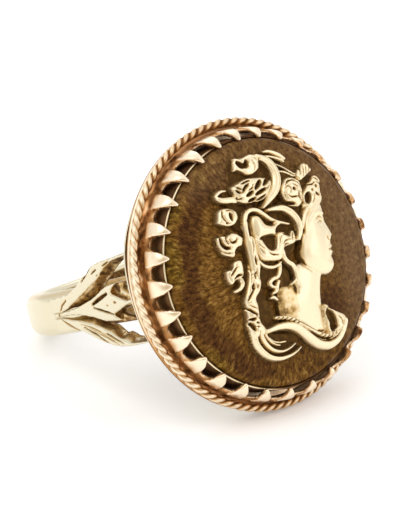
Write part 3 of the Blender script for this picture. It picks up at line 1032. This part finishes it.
# Cuts of the graver: half width, depth, points
CUTS = [
    # heart in the top curl, and where the curl meets the crescent
    (1.5, 0.7, [(-8.4, 50), (-7.4, 48.6), (-5.6, 47.4)]),
    (1.5, 0.7, [(-3, 50), (-3.6, 48.4), (-5.6, 47.4)]),
    (0.35, 0.3, [(4.4, 50.6), (3.9, 48), (3.4, 45.6)]),
    (0.3, 0.2, [(1.6, 50.8), (3, 49.8)]),
    (0.25, 0.15, [(-0.4, 50.6), (0.6, 47), (-0.6, 44.4)]),
    # holes of the net
    (1.2, 0.6, [(-3.4, 36.1), (-0.8, 38), (1.4, 39.6)]),
    (1.1, 0.6, [(1.8, 37), (4, 38.4), (6.4, 39.3)]),
    (0.9, 0.6, [(-9.4, 33.4), (-7.2, 34.2), (-4.8, 35.1)]),
    (0.9, 0.6, [(-4.2, 33.2), (-1, 34.2), (3, 35.4)]),
    (0.9, 0.6, [(-8.8, 30.9), (-6.6, 31.1), (-4.2, 31.8)]),
    (0.8, 0.4, [(-3.8, 30.6), (-1, 31.2), (2, 32.4)]),
    (0.8, 0.6, [(-10.9, 35.6), (-9, 37.4), (-6.4, 38.9)]),
    (0.7, 0.6, [(-14, 37), (-12.9, 35.9), (-11.8, 35.4)]),
    (0.45, 0.5, [(-13.6, 38.7), (-12.4, 37.7), (-11, 37)]),
    (0.45, 0.5, [(-10.2, 39.4), (-7.6, 40), (-4.6, 40.6)]),
    (0.35, 0.4, [(-14.4, 34), (-14, 32.6), (-12, 32.8)]),
    (0.4, 0.4, [(-7.4, 35.8), (-5, 36.8), (-4, 38.4)]),
    (0.3, 0.3, [(3.6, 35), (5.4, 36.4)]),
    # curls at the back
    (1.2, 0.6, [(-20.6, 27), (-20.4, 25.4), (-20.4, 23.8)]),
    (0.5, 0.4, [(-23.6, 29.4), (-24.8, 27.2), (-24.6, 24.8), (-23.2, 22.8)]),
    (0.4, 0.3, [(-22.2, 28.4), (-20, 28.6), (-18.2, 27)]),
    (0.4, 0.3, [(-24, 22.6), (-22.2, 22.4)]),
    (1.0, 0.6, [(-28.4, 17.6), (-28.8, 14.2), (-27.4, 11.5), (-24.8, 10.9)]),
    (0.5, 0.5, [(-24.4, 15.2), (-23.4, 13.2), (-21, 13.6), (-20.4, 15)]),
    (0.5, 0.4, [(-25.4, 12.6), (-26.2, 15.2), (-24.6, 16.8)]),
    (0.3, 0.3, [(-29.6, 10.4), (-27.2, 8.8), (-24.4, 8.4)]),
    (0.5, 0.5, [(-27.7, -2.2), (-25.4, -0.4), (-23.4, 1.4)]),
    (0.6, 0.5, [(-26, -4), (-23.6, -2.6), (-21.2, -2.6)]),
    (0.3, 0.2, [(-27, 0.2), (-24.6, 2.4)]),
    (0.8, 0.6, [(-20.4, 36.4), (-18, 36), (-16.2, 36)]),
    # rose, leaves and feather
    (0.45, 0.4, [(15.4, 35), (17.4, 36.6), (20.4, 36.9), (22, 36)]),
    (0.55, 0.5, [(22.6, 35.6), (24.2, 34.2), (24.6, 32.4)]),
    (0.8, 0.5, [(18.8, 32.8), (20.2, 32.6)]),
    (0.4, 0.4, [(14.8, 30.6), (16.6, 29), (20.4, 28.8)]),
    (0.7, 0.5, [(22.2, 31.2), (21.5, 28.6), (22.8, 26.3)]),
    (0.5, 0.5, [(24.6, 30.6), (23.8, 28.8), (24.4, 27)]),
    (0.8, 0.5, [(14, 26.6), (15.8, 26), (18, 25.4)]),
    (0.3, 0.3, [(14, 33.4), (16.4, 34.4), (17.4, 32.4), (16.4, 31)]),
    (0.3, 0.3, [(19.6, 35), (21.6, 33.6), (21.2, 31.8)]),
    (0.3, 0.25, [(13.2, 31.6), (13.6, 28.8)]),
    (2.1, 0.7, [(28.8, 28.8), (27.6, 27), (26.6, 25.2)]),
    (0.9, 0.6, [(26.6, 33.8), (27.6, 35.4)]),
    (0.9, 0.6, [(28.6, 33.6), (31, 35.6), (33.8, 37)]),
    (0.75, 0.5, [(34.2, 31.9), (35.2, 31.9)]),
    (0.6, 0.5, [(31.2, 30.4), (31.9, 30.5)]),
    (0.6, 0.5, [(33.2, 28.8), (35, 27.4)]),
    (0.3, 0.3, [(29.6, 24.4), (31.6, 26.4), (32, 28.4)]),
    (0.4, 0.4, [(26.8, 38.4), (28.8, 41.8)]),
    (0.4, 0.4, [(28.6, 37.8), (30.8, 42.8)]),
    (0.4, 0.4, [(30.6, 38.4), (32.6, 43.4)]),
    (0.35, 0.35, [(32.6, 39), (34.2, 42)]),
    (0.4, 0.35, [(35.2, 36.2), (37.4, 34.2)]),
    (0.35, 0.3, [(35.6, 34), (38, 32.6)]),
    (0.4, 0.4, [(30, 33.2), (32.6, 33), (34.4, 34)]),
    # folds before the ear, grooves of the bowl and its waves
    (0.6, 0.4, [(-3, 20.6), (-1.4, 19.1), (0.6, 18.7), (3, 19.2)]),
    (0.35, 0.3, [(-13, 21.6), (-10.6, 24.8), (-7, 24.9), (-4, 22.4), (-2.2, 20.2)]),
    (0.35, 0.25, [(-8.8, 8.2), (-7.8, 6.6), (-7.2, 5)]),
    (0.4, 0.3, [(-4, 5.2), (-2.2, 3.9), (0.8, 3.3)]),
    (0.45, 0.4, [(6.4, 12.6), (8, 12.2), (9.6, 10.8)]),
    (0.35, 0.3, [(5, 7.6), (7, 9.2), (10.2, 9.6)]),
    (0.45, 0.4, [(11.2, 9.2), (12, 10.6), (12.6, 12.2)]),
    (0.3, 0.25, [(3.7, 8.5), (4.4, 10.6), (5.4, 12)]),
    (0.4, 0.35, [(8.8, 7.2), (6.8, 7.4), (5.4, 5.8)]),
    (0.3, 0.25, [(-9.4, 11.4), (-8.2, 9.4), (-6.4, 7.4)]),
    # slots and turns of the long lock
    (0.3, 0.25, [(-15.8, 13), (-15.8, 5), (-15.9, 0), (-16.4, -4), (-17.4, -7.4)]),
    (0.35, 0.3, [(-12.4, 13), (-12.6, 9), (-13.6, 6)]),
    (0.8, 0.5, [(-12.8, 4.6), (-12.7, 2.6), (-12.9, 0.8)]),
    (0.7, 0.6, [(-14.2, -2.8), (-14.6, -4), (-15, -5.4)]),
    (0.8, 0.6, [(-16, -7.8), (-16.7, -9), (-17.4, -10.2)]),
    (0.65, 0.6, [(-14, -8.9), (-14.4, -9.9)]),
    (0.6, 0.4, [(-15.8, -9.8), (-18, -12), (-20.8, -15.4)]),
    (0.3, 0.2, [(-12.6, -6.4), (-13.6, -3), (-13.2, -0.4)]),
    (0.65, 0.45, [(-21.6, -18.4), (-19.5, -20.5), (-16.2, -22.8)]),
    (0.3, 0.25, [(-20.6, -17), (-18.4, -18.6), (-16.2, -19.6)]),
    (0.7, 0.5, [(-20.9, -24.1), (-19.2, -24.3), (-17.6, -24)]),
    (1.1, 0.6, [(-20.8, -26), (-19.9, -27.4), (-18.5, -29.8)]),
    (0.45, 0.35, [(-18, -26), (-16, -26.6)]),
    (0.35, 0.3, [(-18.2, -27.9), (-16.2, -28.2)]),
    (0.3, 0.25, [(-17.8, -22.4), (-15.6, -24.4)]),
    (0.6, 0.4, [(-16.3, -30.4), (-15.9, -35.6), (-12.6, -40.2), (-8, -43.1), (-3, -43.9), (2, -43.1),
        (6.2, -41.4)]),
    (0.8, 0.6, [(-3.8, -9.9), (-2.6, -10)]),
    # hollow of the shoulder loop, with its darker core
    (2.6, 0.7, [(26.8, -27.4), (28.6, -31.6), (30.4, -36)]),
    (1.6, 0.7, [(27.4, -33), (28.8, -36.6), (31.6, -36)]),
    (0.4, 0.25, [(32.6, -31), (34.6, -33), (35.4, -36)]),
    # groove between drapery and lace, then the notches of the lace
    (0.5, 0.35, [(9, -32.6), (14, -36.6), (19.5, -40.6), (25, -42), (30, -41.2), (33.6, -38.8)]),
    (0.3, 0.3, [(5.6, -28.4), (11, -31.6), (16, -34.6), (20, -36.9)]),
    (0.5, 0.35, [(20.2, -36.4), (22.6, -37), (24.8, -37)])]
LACE = [
    (-5.5, -26), (0, -26.8), (5, -28.6), (10, -31.4), (15, -34.8), (20, -37.8), (25, -39.6), (30, -39),
    (33.4, -36.6)]
LACE_HALF, LACE_H, LACE_PITCH = 1.3, 0.95, 2.6
# Ground of the relief: place and radius, then place and radius it runs to
GROUNDS = [
    (-7, 48, 5, 3, 44, 6), (-9, 36, 6, 7, 36, 6.5), (3, 44, 6, 7, 36, 6.5), (-9, 36, 6, -7, 47, 4.6),
    (-12, 22, 5, -4, 20, 9), (-4, 20, 9, 11, 17, 7), (-4, 12, 11, 8, 8, 8), (-11, 8, 5, -4, 2, 6),
    (-19, 33, 2, -14, 27, 4), (-20, 25, 3, -14, 20, 3.6), (-21, 12.5, 3, -15, 11, 3.6),
    (-23, 1.5, 2.4, -17, 0, 3), (-16, 0, 3, -18.4, -20, 3), (-18.4, -20, 3, -18, -31, 3.6),
    (-18.5, -31, 4, -8, -42.4, 3.6), (-8, -42.4, 3.6, 6, -42.6, 2), (-8, -37, 5, 5, -38, 4),
    (19, 31, 6, 33, 34, 5), (14, 41, 2.4, 30, 38, 3.6), (9, 50.6, 1.6, 18, 49, 1.8),
    (-9, -6, 5, 2, -8, 7), (-14, -14, 5, -8, -28, 6), (12, 24, 5, 24, 24, 5), (28, -31, 4, 30, -36, 4)]
# A generic profile of textbook proportions, then back round the jaw and under the hair
FACE = [
    (34.4, 27), (35.9, 24), (36.5, 20.6), (36.6, 18), (35.9, 15.4), (36.6, 13), (37.7, 10.4), (38.9, 7.6),
    (39.2, 6.2), (38.6, 5.3), (37.2, 4.9), (36.8, 4.1), (37.5, 2.9), (37.6, 1.9), (36.9, 1), (36.8, 0.5),
    (37.4, -0.3), (37.2, -1.5), (36.3, -2.4), (36.1, -3.3), (36.7, -4.8), (36.6, -6.9), (35.4, -9.2),
    (33.4, -10.6), (30.5, -11.2), (26, -10.2), (21, -8), (17, -4.5), (14.6, 0), (15.4, 5), (18, 9.5),
    (20, 14), (20.6, 18.5), (22.6, 23), (27, 27)]
NECK = [
    (29.5, -6), (27, -12), (25.6, -18), (25.2, -24), (25.6, -30), (27.6, -36), (25, -39), (17, -36.5),
    (8, -32), (0, -28.5), (-2, -25.6), (-2.7, -21), (-2.6, -17), (-1.6, -13), (1.5, -11.4), (6, -11.6),
    (9, -9.6), (11, -5), (14, -3), (22, -2)]
# Brown stains: x, y, radius across and up, strength
STAINS = [
    (8.4, -14.5, 1.3, 2.8, 0.8), (-1, -18, 2.2, 5, 0.3), (2, -24, 6, 2, 0.3), (4, -12, 4, 1.2, 0.35),
    (16.5, 6, 1.6, 4, 0.5), (16, -3, 1.6, 4, 0.4), (28, -32, 3, 6, 0.6)]
# Soft forms of the face: x, y, radius across and up, height
FORMS = [
    (25.5, 3.5, 8.5, 9.5, 0.26),   # cheek
    (30.5, 23, 6, 4.5, 0.1),   # forehead
    (32.6, 15, 2.7, 2.1, -0.26),   # eye socket
    (27.5, 17.5, 3, 4, -0.08),   # temple
    (31.6, 15, 2.0, 1.0, 0.13),   # eyeball
    (37, 7.3, 1.2, 1.1, 0.1),   # tip of the nose
    (35.4, 6.5, 1.0, 1.0, 0.14),   # wing of the nose
    (34.2, -6.6, 2.6, 2.6, 0.14),   # chin
    (33, 3, 1.6, 2.4, -0.05)]   # hollow beside the mouth
# Fine lines of the face: half width, height, points
LINES = [
    (1.0, 0.16, [(28, 18.2), (31.4, 19.4), (35.4, 18.2)]),   # brow
    (0.5, 0.16, [(29.2, 14.9), (31.6, 16.3), (34.2, 15.2)]),   # upper lid
    (0.4, 0.08, [(29.6, 14), (31.8, 13.3), (33.8, 14.2)]),   # lower lid
    (1.1, 0.12, [(35.2, 16), (36.6, 12), (37.9, 8)]),   # bridge of the nose
    (0.7, 0.15, [(34, 1.9), (35.6, 2.4), (37, 2)]),   # upper lip
    (0.7, 0.15, [(34.2, -0.4), (35.6, -0.6), (36.8, -0.4)]),   # lower lip
    (0.7, -0.08, [(34, -2.6), (36, -2.6)])]   # hollow over the chin
# Cuts of the face: half width, depth, points
FACE_CUTS = [
    (0.3, 0.12, [(28.8, 16.2), (31.6, 17.4), (34.6, 16.4)]),   # fold over the eye
    (0.35, 0.12, [(29.4, 14.3), (31.7, 15.1), (34, 14.6)]),   # edge of the upper lid
    (0.4, 0.12, [(34.2, 7.6), (34.2, 6.2), (35.4, 5.2)]),   # wing of the nose
    (0.35, 0.14, [(33.2, 0.9), (35.2, 0.8), (37, 0.7)]),   # mouth
    (0.3, 0.08, [(21.5, -8.6), (17, -5), (14.4, -1)])]   # edge of the jaw under the hair


class Carving:
    """A relief on a grid, raised and cut part by part: its height, its outline and the dirt in it."""

    def __init__(self):
        self.x, self.y = np.meshgrid(np.arange(BUST_WEST, BUST_EAST, BUST_CELL),
                                     np.arange(BUST_SOUTH, BUST_NORTH, BUST_CELL))
        self.height = np.full(self.x.shape, -1.0)
        self.shape = np.full(self.x.shape, -9.0)
        self.dirt = np.ones(self.x.shape)

    def window(self, line, margin):
        """The part of the grid round a line."""
        (x0, y0), (x1, y1) = line.min(0) - margin, line.max(0) + margin
        return (slice(max(int((y0 - BUST_SOUTH) / BUST_CELL), 0), int((y1 - BUST_SOUTH) / BUST_CELL) + 1),
                slice(max(int((x0 - BUST_WEST) / BUST_CELL), 0), int((x1 - BUST_WEST) / BUST_CELL) + 1))

    def near(self, line, widths):
        """The window round a line, then what along_line says in it."""
        at = self.window(line, max(widths) + 1)
        return at, *along_line(self.x[at], self.y[at], line, widths)

    def raise_to(self, at, height, inside, dirt):
        """Brings a window up to a height where inside is positive."""
        higher = (inside > 0) & (height > self.height[at])
        self.dirt[at] = np.where(higher, dirt, self.dirt[at])
        self.height[at] = np.where(higher, height, self.height[at])
        self.shape[at] = np.maximum(self.shape[at], inside)

    def swell(self, outline, top, edge, crowning, smooth=0.0):
        """(window, distance inside, height) of a full form with a rounded edge."""
        curve = smooth_line(outline, 5, closed=True)
        at = self.window(curve, 1.5)
        inside = inside_distance(self.x[at], self.y[at], curve)
        deep = soften(inside, smooth) if smooth else inside
        body = np.sqrt(np.clip(1 - (1 - np.clip(deep / edge, 0, 1)) ** 2, 0, 1))
        return at, inside, SWELL_FOOT + (top - SWELL_FOOT) * body + crowning * ease(deep / (3 * edge))

    def strand(self, widths, top, grooves, points):
        """A lock or a fold along points, with grooves along it."""
        at, q, _, side, wide = self.near(smooth_line(points, 7), widths)
        height = GROUND_H * 0.5 + (top - GROUND_H * 0.5) * np.sqrt(np.clip(1 - q ** 3.4, 0, 1))
        dirt = ease((q - 0.8) / 0.16)
        if grooves:
            across = side * q * (grooves + 1) / 2 + (0.5 if grooves % 2 else 0.0)
            groove = np.clip(1 - np.abs((across % 1) - 0.5) * 4.5, 0, 1) * (q < 0.8)
            groove = groove * ease(wide / max(widths))
            height -= GROOVE_DEPTH * groove
            dirt = np.maximum(dirt, 0.5 * groove)
        self.raise_to(at, height, (1 - q) * wide, dirt)

    def engrave(self, cuts):
        """Cuts lines into what is raised, never below the ground."""
        for half, depth, points in cuts:
            at, q, *_ = self.near(smooth_line(points, 6), (half * 0.45, half, half * 0.45))
            cut = ease((1.15 - q) / 0.4)
            floor_of_cut = np.minimum(self.height[at], GROUND_H * 0.9)
            self.height[at] = np.maximum(self.height[at] - depth * cut, floor_of_cut)
            self.dirt[at] = np.maximum(self.dirt[at], cut * min(1.0, 0.45 + depth))

    def bump_at(self, at, x, y, across, up):
        """A soft round bump of height 1."""
        return np.exp(-((self.x[at] - x) / across) ** 2 - ((self.y[at] - y) / up) ** 2)


def raise_ground(carving):
    """The low ground that joins hair, flowers and drapery."""
    for ax, ay, ar, bx, by, br in GROUNDS:
        ar, br = GROUND_SHARE * ar, GROUND_SHARE * br
        line = np.array([(ax, ay), ((ax + bx) / 2, (ay + by) / 2), (bx, by)])
        at, q, _, _, wide = carving.near(line, (ar, (ar + br) / 2, br))
        inside = (1 - q) * wide
        carving.raise_to(at, GROUND_H * ease(inside / 0.8 + 0.3), inside, 1.0)


def raise_neck(carving):
    """The neck and shoulder, of a deeper gold at the nape."""
    at, inside, height = carving.swell(NECK, 0.62, 4.0, 0.3, 6)
    mottled = soften(rng.normal(0, 1, carving.x.shape), 1.1)[at]
    nape = (0.36 + 0.24 * mottled) * ease((12 - carving.x[at]) / 7)
    carving.raise_to(at, height, inside, 0.5 * (1 - ease(inside / 0.8)) + nape)


def raise_face(carving):
    """The face with its soft forms and fine lines, darker at its edge beside the hair."""
    at, inside, height = carving.swell(FACE, 0.78, 2.4, 0.25, 3.4)
    for fx, fy, across, up, amount in FORMS:
        height = height + amount * carving.bump_at(at, fx, fy, across, up)
    for half, amount, points in LINES:
        widths = (half * 0.6, half, half * 0.6)
        q = along_line(carving.x[at], carving.y[at], smooth_line(points, 6), widths)[0]
        height = height + amount * np.exp(-(q * 1.1) ** 2)
    beside_hair = 0.8 * (1 - ease(inside / 1.8)) * (carving.x[at] < 24)
    carving.raise_to(at, height, inside, 0.4 * (1 - ease(inside / 0.6)) + beside_hair)


def raise_lace(carving):
    """The lace over the drapery, notched along its lower side and almost plain halfway."""
    widths = (LACE_HALF * 0.8, LACE_HALF, LACE_HALF * 0.9)
    at, q, length, side, wide = carving.near(smooth_line(LACE, 8), widths)
    in_pitch = ((length + 1.2 * side * q) / LACE_PITCH) % 1
    notch = np.clip(1.6 - np.abs(in_pitch - 0.5) * 7, 0, 1) * (side * q > -0.5) * (q < 0.85)
    notch = notch * (0.15 + 0.85 * ease(np.abs(carving.x[at] - 14.5) / 3 - 1.6))
    height = 0.35 + (LACE_H - 0.35) * np.sqrt(np.clip(1 - q ** 3, 0, 1)) - 0.3 * notch
    carving.raise_to(at, height, (1 - q) * wide, np.maximum(notch, 0.6 * ease((q - 0.6) / 0.4)))


def bust_place(x, y, height):
    """Hundredths of the bust and a height over the stone, to the row frame."""
    right = UNIT * (x * math.cos(BUST_TURN) + y * math.sin(BUST_TURN)) + BUST_SHIFT
    up = UNIT * (y * math.cos(BUST_TURN) - x * math.sin(BUST_TURN))
    out = dome_height(np.hypot(right, up)) + RELIEF_SCALE * height
    return on_setting(np.stack([right, up, out], -1))


def bust():
    """The bust, from the ground up: neck, face, hair, drapery and lace, then the cuts of the graver."""
    carving = Carving()
    raise_ground(carving)
    raise_neck(carving)
    raise_face(carving)
    everywhere = (slice(None), slice(None))
    for *place_and_size, amount in STAINS:
        carving.dirt += amount * carving.bump_at(everywhere, *place_and_size)
    carving.engrave(FACE_CUTS)
    for top, edge, crowning, outline in REGIONS:
        at, inside, height = carving.swell(outline, top, edge, crowning)
        carving.raise_to(at, height, inside, 1 - ease(inside / 0.3))
    for *widths, top, grooves, points in STRANDS:
        carving.strand(widths, top, grooves, points)
    raise_lace(carving)
    carving.engrave(CUTS)

    ground = np.where(carving.height < 0, 0.12, carving.height)
    surface = soften(ground, 0.5)
    around = soften(np.maximum(ground, 0.25), SHADE_REACH)
    hollow = np.clip((around - surface) / 0.5, 0, 1)
    cavity = soften(np.clip(carving.dirt + 0.26 * hollow, 0, 1), 0.4)
    base = np.full(carving.x.shape, 0.02)
    return relief(carving.x, carving.y, soften(carving.shape, 0.5), surface, base, cavity, bust_place, 0.72)


make_piece("relief_bust", [bust()], relief_gold, "cameo_bust")

# Floor and light

FLOOR_HALF = 3.0
FLOOR_GLOW = 0.2
# Soft square lights: name, direction from the setting, distance, size, power
LIGHTS = [
    ("key", (0.1, -0.9, 1.2), 0.5, 0.4, 0.5),
    ("fill", (1.2, 0.8, 0.6), 0.6, 0.4, 0.3),
    ("back", (-0.8, 0.6, 0.9), 0.6, 0.4, 0.3)]
# The side of the studio that is darker and warmer, and the range of directions over which it gets so
DIM_SIDE, DIM_FROM, DIM_FULL = (0.72, -0.62, 0.3), 0.6, 0.97
WHITE, WARM = (1.0, 1.0, 1.0), (1.0, 0.86, 0.64)


def floor_white():
    """Plain white that glows a little, for the photograph's white ground."""
    material, _, shader = new_material("floor_white")
    shader.inputs["Base Color"].default_value = (0.94, 0.94, 0.94, 1)
    shader.inputs["Roughness"].default_value = 0.6
    shader.inputs["Specular IOR Level"].default_value = 0.1
    shader.inputs["Emission Color"].default_value = (1, 1, 1, 1)
    shader.inputs["Emission Strength"].default_value = FLOOR_GLOW
    return material


floor_mesh = bpy.data.meshes.new("floor")
corners = [(sx * FLOOR_HALF, sy * FLOOR_HALF, 0) for sx, sy in ((-1, -1), (1, -1), (1, 1), (-1, 1))]
floor_mesh.from_pydata(corners, [], [(0, 1, 2, 3)])
floor_mesh.materials.append(floor_white())
floor = new_object("floor", floor_mesh)

for name, direction, distance, size, power in LIGHTS:
    data = bpy.data.lights.new(name, "AREA")
    data.shape, data.size, data.energy = "SQUARE", size, power
    light = new_object(name, data)
    towards = Vector(direction).normalized()
    light.location = Vector(SETTING) + towards * distance
    light.rotation_mode = "QUATERNION"
    light.rotation_quaternion = (-towards).to_track_quat("-Z", "Y")

world = bpy.data.worlds.new("studio")
bpy.context.scene.world = world
world.use_nodes = True
w = Nodes(world.node_tree)
background = world.node_tree.nodes["Background"]
direction = w.add("ShaderNodeTexCoord").outputs["Generated"]
height_of = w.add("ShaderNodeSeparateXYZ", Vector=direction).outputs[2]
dim = w.add("ShaderNodeVectorMath", direction, DIM_SIDE, operation="DOT_PRODUCT").outputs["Value"]
sky = w.between(height_of, 0.0, 1.0, 0.95, 1.06)
w.feed(background.inputs["Strength"], w.times(sky, w.between(dim, DIM_FROM, DIM_FULL, 1.0, 0.6)))
w.feed(background.inputs["Color"], w.mix(w.between(dim, DIM_FROM, DIM_FULL), WHITE, WARM))
bpy.context.scene.view_settings.view_transform = "Standard"
